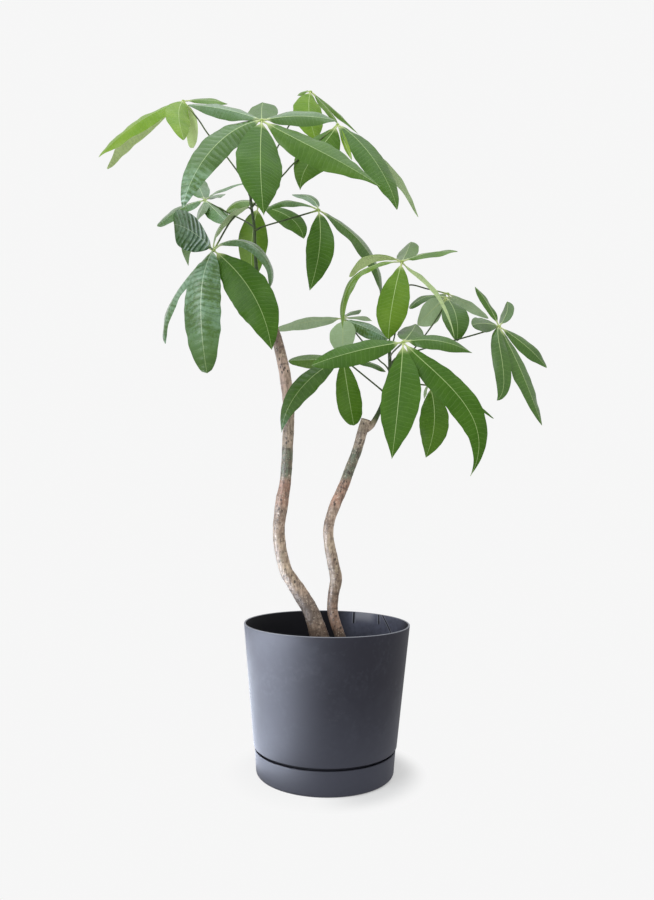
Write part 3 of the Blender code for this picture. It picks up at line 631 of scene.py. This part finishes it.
def plastic_material():
    """Dark blue-grey matt moulded plastic, rubbed in places; painted sheen low down, painted shade, sheen and
    creases inside.
    """
    look = Look("pot_plastic")
    place = own_place(look.tree)
    across, back, height = place.split()
    rubbed = look.mottle(9, 0.25, 0.42, 0.66)
    look.base = look.blend(rubbed, (0.018, 0.018, 0.028), (0.024, 0.025, 0.037))
    stretched = look.stretch(place, (1, 1, 2.2), (0.3, 0.5, 0.2))
    thin = look.noise(stretched, 34, detail=5, distortion=1.6)
    scuffs = (1 - abs(thin - 0.5).fade(0, 0.006)) * look.mottle(14, 0.2, 0.6, 0.7)
    look.paint(scuffs * 0.35, (0.16, 0.165, 0.18))
    smudges = look.mottle(24, 0.5, 0.5, 0.72)
    look.paint(smudges * 0.45, (0.038, 0.041, 0.056))
    # Painted sheen: the lower pot and the saucer are painted lighter towards the bottom.
    painted_sheen_low = 1 - height.fade(0, 0.16)
    look.paint(painted_sheen_low * 0.85, (0.054, 0.057, 0.078))

    flat = put(look.tree, "VectorMath", {0: place, 1: (1, 1, 0)}, operation="MULTIPLY")
    radius = put(look.tree, "VectorMath", {0: flat}, output="Value", operation="LENGTH")
    depth = height * WALL_TAPER + (SHOULDER_RADIUS - SHOULDER_HEIGHT * WALL_TAPER) - radius
    inner_face = height.fade(INNER_MARKS_FROM, INNER_MARKS_FROM + 0.02)
    inner_face = inner_face * depth.fade(0.4 * POT_WALL, 0.6 * POT_WALL)
    # Painted shade: the inner wall is painted nearly black.
    look.paint(inner_face, (0.005, 0.005, 0.008))
    bearing = maths("ARCTAN2", across, back)
    # Painted sheen on the back-right inner wall, patchy and fading out downwards.
    painted_sheen_inside = look.mottle(22, 0.5, 0.3, 0.58) * 0.35 + 0.65
    painted_sheen_inside = painted_sheen_inside * bearing.band(0.08, 0.45, 1.05, 1.6) * height.fade(0.15, 0.205)
    look.paint(painted_sheen_inside * inner_face, (0.115, 0.125, 0.18))
    # Painted highlight near the top of the back-right inner wall.
    gleam = bearing.band(0.39, 0.42, 0.6, 0.74) * height.fade(0.198, 0.212)
    look.paint(gleam * inner_face, (0.3, 0.31, 0.37))
    # Each crease is painted as a dark line of shade with a painted glint beside it.
    for turn, low, lean in CREASES:
        reach = inner_face * height.fade(low, low + 0.003)
        off = abs(bearing - (height * lean + (math.radians(turn) - lean * RIM_HEIGHT)))
        crease_shade = 1 - off.fade(0.006, 0.016)
        look.paint(crease_shade * reach, (0.004, 0.004, 0.006))
        glint = 1 - abs(off - 0.02).fade(0.004, 0.008)
        look.paint(glint * reach * 0.5, (0.3, 0.31, 0.36))
    # Painted highlight along the lip.
    lip_highlight = height.fade(RIM_HEIGHT - 1 * MM, RIM_HEIGHT - 0.4 * MM)
    look.paint(lip_highlight * 0.8, (0.28, 0.29, 0.33))
    skin = look.noise(place, 1400)
    return look.finish(rubbed.spread(0.62, 0.57), ((skin, 0.1, 0.2 * MM),), specular=0.22)


def soil_material():
    """Dark potting soil with paler fibres."""
    look = Look("potting_soil")
    patches = look.mottle(60, 0.6, 0.35, 0.65)
    look.base = look.blend(patches, (0.022, 0.015, 0.01), (0.085, 0.06, 0.04))
    fibres = look.noise(own_place(look.tree), 420, detail=5, distortion=1.2)
    look.paint(fibres.fade(0.6, 0.72) * 0.6, (0.2, 0.145, 0.095))
    return look.finish(0.93, ((fibres, 0.9, 1.5 * MM),))


def chip_material(name, dark, light):
    """Loose bits on the soil, each with its own grain."""
    look = Look(name)
    look.base = look.blend(look.mottle(150, 0.5, 0.35, 0.65), dark, light)
    grain = look.noise(own_place(look.tree), 900, detail=3)
    return look.finish(0.88, ((grain, 0.6, 0.6 * MM),))


# -------- meshes


def add_object(name, bm, materials):
    """Puts a finished mesh in the scene."""
    mesh = bpy.data.meshes.new(name)
    bm.to_mesh(mesh)
    bm.free()
    for material in materials:
        mesh.materials.append(material)
    made = bpy.data.objects.new(name, mesh)
    scene.collection.objects.link(made)
    return made


def add_piece(name, bm, materials, slot, *replaced):
    """A smooth object that rides on the plant's only body."""
    for face in bm.faces:
        face.smooth = True
    piece = add_object(name, bm, materials)
    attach(piece, "root")
    if replaced:
        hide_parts(*replaced)
    return piece


def smooth_path(points, step):
    """(place, radius, distance) about every step along the curve through (x, y, z, radius) points."""
    rows = [Vector(point) for point in points]
    rows = [2 * rows[0] - rows[1], *rows, 2 * rows[-1] - rows[-2]]
    path = []
    for before, start, end, after in zip(rows, rows[1:], rows[2:], rows[3:]):
        pieces = max(2, round((end.to_3d() - start.to_3d()).length * MM / step))
        for number in range(pieces):
            t = number / pieces
            bend = (2 * before - 5 * start + 4 * end - after) * t * t
            swing = (3 * start - before - 3 * end + after) * t * t * t
            path.append((2 * start + (end - before) * t + bend + swing) / 2)
    path.append(rows[-2])
    made = []
    travelled = 0.0
    for number, row in enumerate(path):
        if number:
            travelled += (row.to_3d() - path[number - 1].to_3d()).length * MM
        made.append((row.to_3d() * MM, row.w * MM, travelled))
    return made


def tube(bm, path, sides):
    """A closed tube along path: a ring of edges is extruded from station to station. Returns its rings."""
    ring = bmesh.ops.create_circle(bm, segments=sides, radius=1.0)["verts"]
    edges = list({edge for vert in ring for edge in vert.link_edges})
    bmesh.ops.edgeloop_fill(bm, edges=edges)
    last = Matrix.Identity(4)
    facing = Vector((0, 0, 1)).rotation_difference(path[1][0] - path[0][0])
    rings = []
    for number, (place, radius, _) in enumerate(path):
        ahead = path[min(number + 1, len(path) - 1)][0] - path[max(number - 1, 0)][0]
        facing = (facing @ Vector((0, 0, 1))).rotation_difference(ahead) @ facing
        now = Matrix.LocRotScale(place, facing, Vector((radius, radius, radius)))
        if number:
            grown = bmesh.ops.extrude_edge_only(bm, edges=edges)["geom"]
            ring = [item for item in grown if isinstance(item, bmesh.types.BMVert)]
            edges = [item for item in grown if isinstance(item, bmesh.types.BMEdge)]
        bmesh.ops.transform(bm, matrix=now @ last.inverted(), verts=ring)
        last = now
        rings.append(ring)
    bmesh.ops.edgeloop_fill(bm, edges=edges)
    skin = {face for ring in rings for vert in ring for face in vert.link_faces}
    bmesh.ops.recalc_face_normals(bm, faces=list(skin))
    return rings


def bump_of(place, scale):
    """Noise about -1 to 1 at this scale in metres."""
    return noise.noise(place / scale)


def lumps_of(place, layers):
    """A sum of noises, from their (strength, scale) pairs."""
    return sum(strength * bump_of(place, scale) for strength, scale in layers)


def make_stem(stem, bark):
    """A trunk or shoot with uneven growth, ring scars and bark that turns green from a height upwards."""
    draw = random.Random(stem.seed)
    path = smooth_path(stem.points, STEM_ROW_GAP)
    total = path[-1][2]
    scars = []
    reach = 0.0
    while reach < total:
        reach += draw.uniform(0.6, 1.4) * stem.scar_gap
        scars.append((reach, draw.uniform(0.4, 1.0), draw.uniform(-1.0, 1.0)))
    scars.append((total, 1.0, 0.0))
    bm = bmesh.new()
    stem_layer = bm.verts.layers.float_vector.new("stem")
    rings = tube(bm, path, stem.sides)
    for ring, (centre, radius, along) in zip(rings, path):
        young = max(0.0, min(1.0, (centre.z - stem.green_from) / stem.green_over))
        for vert in ring:
            out = (vert.co - centre).normalized()
            scar = 0.0
            for place, depth, lean in scars:
                off = along - place + 0.8 * MM * bump_of(vert.co, 9 * MM) + lean * out.x * 1.5 * MM
                if abs(off) < SCAR_REACH:
                    scar += depth * math.exp(-((off / SCAR_SPREAD) ** 2))
            uneven = lumps_of(vert.co, BARK_LUMPS) + SCAR_SWELL * scar
            vert.co = centre + out * radius * (1 + uneven * (1 - 0.5 * young))
            vert[stem_layer] = (along, young, min(1.0, scar))
    add_piece(stem.node + "_bark", bm, [bark], stem.slot, stem.node)


def outline(along, tip):
    """Half width of a blade as a share of its widest, from base (0) to tip (1)."""
    base = 0.45 + 0.35 * tip
    peak = base / (base + tip)
    widest = peak**base * (1 - peak) ** tip
    return along**base * (1 - along) ** tip / widest


def on_midrib(points, along):
    """The smooth curve through evenly spaced points, from the first (0) to the last (1)."""
    last = len(points) - 1
    place = Vector()
    for number, point in enumerate(points):
        share = 1.0
        for other in range(len(points)):
            if other != number:
                share *= (along * last - other) / (number - other)
        place += share * point
    return place


def midrib_frame(points, along, roll):
    """Point on the midrib, sideways direction and upper-side direction."""
    tangent = (on_midrib(points, along + 0.01) - on_midrib(points, along - 0.01)).normalized()
    reach = points[-1] - points[0]
    level_side = Vector((-reach.y, reach.x, 0.0)).normalized()
    upper = tangent.cross(level_side).normalized()
    turn = Matrix.Rotation(-roll, 3, tangent)
    return on_midrib(points, along), turn @ upper.cross(tangent), turn @ upper


def add_leaflet(bm, layers, hub, leaflet, seed):
    """One blade: an upper and a lower sheet, shaped from two grids and welded along the margin."""
    points = [hub] + [hub + Vector(point) * MM for point in leaflet.midrib]
    half_width = leaflet.width * MM / 2
    roll = math.radians(leaflet.roll)
    length = sum((b - a).length for a, b in zip(points, points[1:]))
    bare = BARE_STALK / length
    rows = max(BLADE_LEAST_ROWS, round(length / BLADE_ROW_GAP))
    vein_gap = max(VEIN_GAP_LEAST, min(VEIN_GAP_MOST, length * VEIN_GAP_SHARE))
    vein_gap *= 0.75 + 0.5 * leaflet.quilt
    drift = Vector((seed * 3.7, seed * 1.3, 0.0))
    frames = [midrib_frame(points, row / rows, roll) for row in range(rows + 1)]
    blade_layer, tone_layer = layers

    made = bmesh.ops.create_grid(bm, x_segments=BLADE_COLUMNS, y_segments=rows, size=1.0)["verts"]
    faces = list({face for vert in made for face in vert.link_faces})
    copied = bmesh.ops.duplicate(bm, geom=faces)["geom"]
    below = [item for item in copied if isinstance(item, bmesh.types.BMVert)]
    for sheet, verts in ((1, made), (-1, below)):
        for vert in verts:
            row = round((vert.co.y + 1) / 2 * rows)
            along = row / rows
            blade = max(0.0, min(1.0, (along - bare) / (1 - bare)))
            leafy = min(1.0, blade * 12)
            across = math.copysign(abs(vert.co.x) ** 1.6, vert.co.x)
            edge = abs(across)
            stalk_half = BARE_STALK_HALF * (1 - leafy)
            half = max(half_width * outline(blade, leaflet.tip), stalk_half, BLADE_LEAST_HALF_WIDTH)
            side = across * half
            distance = blade * length
            wander = VEIN_WANDER * noise.noise(Vector((distance, side, 0.0)) / (16 * MM) + drift)
            ribs = (distance - VEIN_SWEEP * abs(side)) / vein_gap + wander
            rib_half = (0.65 - 0.45 * blade) * MM
            place, sideways, upper = frames[row]

            rounded = math.sqrt(max(0.0, 1 - across * across))
            rib = math.exp(-((side / RIB_SPREAD) ** 2)) * (1 - 0.8 * blade)
            thick = BLADE_HALF_THICKNESS * rounded + rib * (RIB_RISE_ABOVE if sheet > 0 else RIB_RISE_BELOW)
            thick = thick * leafy + BARE_STALK_HALF * rounded * (1 - leafy)
            thick *= 1 - along**12
            if row in (0, rows) or edge > 0.999:
                thick = 0.0

            quilt = leaflet.quilt * MM * (abs(math.sin(math.pi * ribs)) ** 0.8 - 0.5)
            quilt *= min(1.0, abs(side) / (4 * MM)) * (1 - edge**3) * min(1.0, half / (9 * MM))
            wave_place = Vector((distance / (26 * MM), math.copysign(4.0, across), 0.0)) + drift
            wave = noise.noise(wave_place) * 2.6 * MM * edge**2
            swell_place = Vector((distance / (45 * MM), side / (30 * MM), 0.0)) + drift
            swell = noise.noise(swell_place) * 2.0 * MM * edge
            bowl = -0.10 * half * edge**2
            lift = (BLADE_FOLD * abs(side) + bowl + quilt + wave + swell) * leafy
            margin = 1 + 0.05 * edge * noise.noise(wave_place * 2.0)
            vert.co = place + sideways * (side * margin) + upper * (lift + sheet * thick)
            vert[blade_layer] = (abs(side) / rib_half, ribs, edge)
            gloss = leaflet.gloss + leaflet.tip_gloss * blade**2
            vert[tone_layer] = (leaflet.fresh, gloss, 1 - min(1.0, blade * 16))
    for item in copied:
        if isinstance(item, bmesh.types.BMFace):
            item.material_index = 1
            faces.append(item)
    rim = [vert for vert in made + below if vert.is_boundary]
    bmesh.ops.remove_doubles(bm, verts=rim, dist=WELD_DISTANCE)
    for edge in {edge for vert in rim if vert.is_valid for edge in vert.link_edges}:
        sides = {face.material_index for face in edge.link_faces}
        edge.smooth = len(sides) == 1
    bmesh.ops.recalc_face_normals(bm, faces=[face for face in faces if face.is_valid])


def make_leaf(leaf, seed, materials):
    """A compound leaf: its long stalk, the knuckle at its end and the blades that meet there."""
    bm = bmesh.new()
    layers = [bm.verts.layers.float_vector.new(name) for name in ("blade", "tone")]
    tone_layer = layers[1]
    hub = Vector(leaf.stalk[-1]) * MM
    fresh = sum(leaflet.fresh for leaflet in leaf.leaflets) / len(leaf.leaflets)
    placed = Matrix.Translation(hub) @ Matrix.Diagonal((1, 1, HUB_SQUASH, 1))
    knuckle = bmesh.ops.create_icosphere(bm, subdivisions=3, radius=HUB_RADIUS, matrix=placed)["verts"]
    for vert in knuckle:
        vert.co += (vert.co - hub) * 0.12 * bump_of(vert.co, 2 * MM)
        vert[tone_layer] = (fresh, 0.0, 1.0)

    path = smooth_path([(*point, STALK_RADIUS / MM) for point in leaf.stalk], STALK_ROW_GAP)
    total = path[-1][2]
    shaped = []
    for place, radius, along in path:
        base_flare = 0.9 * math.exp(-((along / (7 * MM)) ** 2))
        hub_flare = 0.45 * math.exp(-(((total - along) / (6 * MM)) ** 2))
        shaped.append((place, radius * (1 + base_flare + hub_flare), along))
    rings = tube(bm, shaped, STALK_SIDES)
    for ring, (_, _, along) in zip(rings, shaped):
        for vert in ring:
            vert[tone_layer] = (fresh, 0.0, along / total)
    for vert in knuckle + [vert for ring in rings for vert in ring]:
        for face in vert.link_faces:
            face.material_index = 2
    for number, leaflet in enumerate(leaf.leaflets):
        add_leaflet(bm, layers, hub, leaflet, seed + number)
    add_piece(leaf.name + "_blades", bm, materials, "leaf", leaf.name)


def turned(profile):
    """A solid of revolution about Z, from (radius, height) pairs that start and end on the axis."""
    bm = bmesh.new()
    verts = [bm.verts.new((radius, 0.0, height)) for radius, height in profile]
    edges = [bm.edges.new(pair) for pair in zip(verts, verts[1:])]
    whole_turn = {"cent": (0, 0, 0), "axis": (0, 0, 1), "angle": math.tau, "use_merge": True}
    bmesh.ops.spin(bm, geom=verts + edges, steps=TURN_STEPS, **whole_turn)
    bmesh.ops.remove_doubles(bm, verts=bm.verts[:], dist=0.01 * MM)
    bmesh.ops.recalc_face_normals(bm, faces=bm.faces[:])
    return bm


def arc(centre, radius, start, end, steps=5):
    """(radius, height) points of a round corner, from angle start to angle end in degrees."""
    turns = [math.radians(start + (end - start) * step / steps) for step in range(steps + 1)]
    return [(centre[0] + radius * math.cos(turn), centre[1] + radius * math.sin(turn)) for turn in turns]


def wall(start, end, count):
    """Evenly spaced points between two profile points, without the ends."""
    first, last = Vector(start), Vector(end)
    return [tuple(first.lerp(last, step / (count + 1))) for step in range(1, count + 1)]


def make_saucer(plastic):
    low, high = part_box("saucer")
    rim, top = high.x, high.z
    lip = SAUCER_LIP
    inner_base = SAUCER_BASE_RADIUS - SAUCER_WALL
    profile = [(0.0, low.z)]
    profile += arc((SAUCER_BASE_RADIUS - 5 * MM, low.z + 5 * MM), 5 * MM, -90, -4)
    profile += arc((rim - lip, top - lip), lip, 0, 90, 3)
    profile += arc((rim - SAUCER_WALL + lip, top - lip), lip, 90, 180, 3)
    profile += arc((inner_base - 3 * MM, SAUCER_FLOOR + 3 * MM), 3 * MM, 0, -90, 3)
    profile += [(0.0, SAUCER_FLOOR)]
    add_piece("saucer_tray", turned(profile), [plastic], "pot_plastic", "saucer")


def make_pot(plastic):
    low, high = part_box("pot")
    rim, top = high.x, high.z
    lip = POT_LIP
    step_round = 1.5 * MM
    floor_round = 3 * MM
    outer_top = (rim, top - lip)
    outer_bottom = (SHOULDER_RADIUS, SHOULDER_HEIGHT + step_round)
    inner_top = (rim - POT_WALL, top - lip)
    inner_bottom = (SHOULDER_RADIUS - POT_WALL, SHOULDER_HEIGHT + 4 * MM)
    inner_foot = FOOT_RADIUS - POT_WALL
    profile = [(0.0, low.z)]
    profile += arc((FOOT_RADIUS - floor_round, low.z + floor_round), floor_round, -90, 0, 4)
    profile += [(FOOT_RADIUS, SHOULDER_HEIGHT)]
    profile += arc((SHOULDER_RADIUS - step_round, SHOULDER_HEIGHT + step_round), step_round, -90, -5, 4)
    profile += wall(outer_bottom, outer_top, 8)
    profile += arc((rim - lip, top - lip), lip, 0, 90, 4)
    profile += arc((rim - POT_WALL + lip, top - lip), lip, 90, 180, 4)
    profile += wall(inner_top, inner_bottom, 8)
    profile += [inner_bottom, (inner_foot, SHOULDER_HEIGHT)]
    profile += arc((inner_foot - floor_round, low.z + POT_FLOOR + floor_round), floor_round, 0, -90, 3)
    profile += [(0.0, low.z + POT_FLOOR)]
    add_piece("pot_shell", turned(profile), [plastic], "pot_plastic", "pot")


def soil_rise(place, edge):
    """How far the soil stands above its level at the wall, here."""
    reach = math.hypot(place.x, place.y) / edge
    return (SOIL_CROWN * (1 - reach**2) + lumps_of(place, SOIL_LUMPS)) * MM


def make_soil(earth, bit_materials):
    """The root ball with an uneven top, and the loose bits that lie on it."""
    low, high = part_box("soil")
    edge = high.x - 0.5 * MM
    top = high.z - 5 * MM
    profile = [(0.0, low.z), (FOOT_RADIUS - 8 * MM, low.z), (FOOT_RADIUS - 4 * MM, SHOULDER_HEIGHT)]
    profile += [(edge, top - 2 * MM)]
    profile += [(edge * (1 - ring / SOIL_RINGS), top) for ring in range(1, SOIL_RINGS)]
    profile += [(0.0, top)]
    bm = turned(profile)
    for vert in bm.verts:
        if vert.co.z > top - 3 * MM and math.hypot(vert.co.x, vert.co.y) < 0.99 * edge:
            vert.co.z += soil_rise(vert.co, edge)
    add_piece("soil_ball", bm, [earth], "potting_soil", "soil")

    draw = random.Random(SOIL_SEED)
    for (name, count, least, most), material in zip(SOIL_BITS, bit_materials):
        bits = bmesh.new()
        for _ in range(count):
            reach = (edge - 4 * MM) * math.sqrt(draw.random())
            turn = draw.uniform(0, math.tau)
            spot = Vector((reach * math.cos(turn), reach * math.sin(turn), top))
            spot.z += soil_rise(spot, edge)
            size = draw.uniform(least, most) * MM
            long, wide, tall = draw.uniform(0.8, 1.6), draw.uniform(0.5, 1.0), draw.uniform(0.3, 0.7)
            lean = Matrix.Rotation(draw.uniform(-0.5, 0.5), 3, "X")
            lean = lean @ Matrix.Rotation(draw.uniform(0, math.tau), 3, "Z")
            placed = Matrix.LocRotScale(spot, lean.to_quaternion(), size * Vector((long, wide, tall)))
            bit = bmesh.ops.create_icosphere(bits, subdivisions=1, radius=1.0, matrix=placed)["verts"]
            for vert in bit:
                vert.co += (vert.co - spot) * 0.35 * bump_of(vert.co + Vector((turn, 0, 0)), 2.5 * MM)
        piece = add_piece(name, bits, [material], "potting_soil")
        piece.data.shade_flat()


# -------- stage


def stage_material():
    """Pale floor. Away from the pot the camera sees it as the same plain pale tone as the backdrop."""
    look = Look("studio_floor")
    look.base = FLOOR_TONE
    place = own_place(look.tree)
    reach = put(look.tree, "VectorMath", {0: place}, output="Value", operation="LENGTH")
    near = place.split()[0].fade(0.06, -0.02).spread(0.36, 0.90)
    far = reach.fade(FLOOR_PLAIN_FROM, FLOOR_PLAIN_TO)
    plain_share = put(look.tree, "Mix", {0: far, 2: near, 3: 1.0})
    share = seen_directly(look.tree) * plain_share
    plain = put(look.tree, "Emission", {"Color": BACKDROP, "Strength": 1.0})
    lit = Signal(look.tree, look.shader.outputs[0])
    mixed = put(look.tree, "MixShader", {0: share, 1: lit, 2: plain})
    fill(look.tree, look.tree.nodes["Material Output"].inputs["Surface"], mixed)
    return look.finish(0.9, specular=0.2)


def add_floor():
    bm = bmesh.new()
    bmesh.ops.create_circle(bm, cap_ends=True, segments=64, radius=FLOOR_RADIUS)
    floor = add_object("studio_floor", bm, [stage_material()])


def add_world():
    """Even white light, which the camera sees as the backdrop's tone."""
    world = bpy.data.worlds.new("studio")
    scene.world = world
    world.use_nodes = True
    tree = world.node_tree
    tree.nodes.clear()
    lit = put(tree, "Background", {"Color": (1.0, 1.0, 1.0), "Strength": WORLD_LIGHT})
    plain = put(tree, "Background", {"Color": BACKDROP, "Strength": 1.0})
    mixed = put(tree, "MixShader", {0: seen_directly(tree), 1: lit, 2: plain})
    end = tree.nodes.new("ShaderNodeOutputWorld")
    fill(tree, end.inputs["Surface"], mixed)


def add_lamps():
    """Soft lamps that the camera doesn't see."""
    low_things = bpy.data.collections.new("low_things")
    for name in LOW_PIECES:
        low_things.objects.link(bpy.data.objects[name])
    for lamp in LAMPS:
        light = bpy.data.lights.new(lamp.name, "AREA")
        light.shape = "RECTANGLE"
        light.size, light.size_y = lamp.size
        light.energy = lamp.power
        light.color = lamp.tint
        light.spread = math.radians(lamp.spread)
        softbox = bpy.data.objects.new(lamp.name, light)
        softbox.location = lamp.place
        aim = Vector(lamp.target) - Vector(lamp.place)
        softbox.rotation_euler = aim.to_track_quat("-Z", "Y").to_euler()
        softbox.visible_camera = False
        softbox.visible_glossy = lamp.shines
        softbox.visible_diffuse = lamp.matte
        if lamp.low_only:
            softbox.light_linking.receiver_collection = low_things
        scene.collection.objects.link(softbox)


def add_camera():
    """Just above the pot's rim, a metre away, tilted up to take in the crown."""
    lens = bpy.data.cameras.new("camera")
    lens.lens = LENS
    lens.sensor_width = SENSOR
    camera = bpy.data.objects.new("camera", lens)
    tilt = Matrix.Rotation(math.radians(CAMERA_TILT), 4, "X")
    roll = Matrix.Rotation(math.radians(CAMERA_ROLL), 4, "Z")
    camera.matrix_world = Matrix.Translation(CAMERA_PLACE) @ tilt @ roll
    scene.collection.objects.link(camera)
    scene.camera = camera


def main():
    make_vein_group()
    make_mottle_group()
    bark = bark_material()
    plastic = plastic_material()
    blades = [leaf_upper_material(), leaf_lower_material(), leaf_stalk_material()]
    chips = chip_material("soil_chip", (0.045, 0.028, 0.018), (0.16, 0.10, 0.065))
    perlite = chip_material("soil_perlite", (0.50, 0.49, 0.46), (0.70, 0.69, 0.66))

    for stem in STEMS:
        make_stem(stem, bark)
    for number, leaf in enumerate(LEAVES):
        make_leaf(leaf, SEEDS_PER_LEAF * number, blades)
    make_saucer(plastic)
    make_pot(plastic)
    make_soil(soil_material(), (chips, perlite))

    add_floor()
    add_world()
    add_lamps()
    add_camera()
    scene.view_settings.view_transform = "Standard"


main()
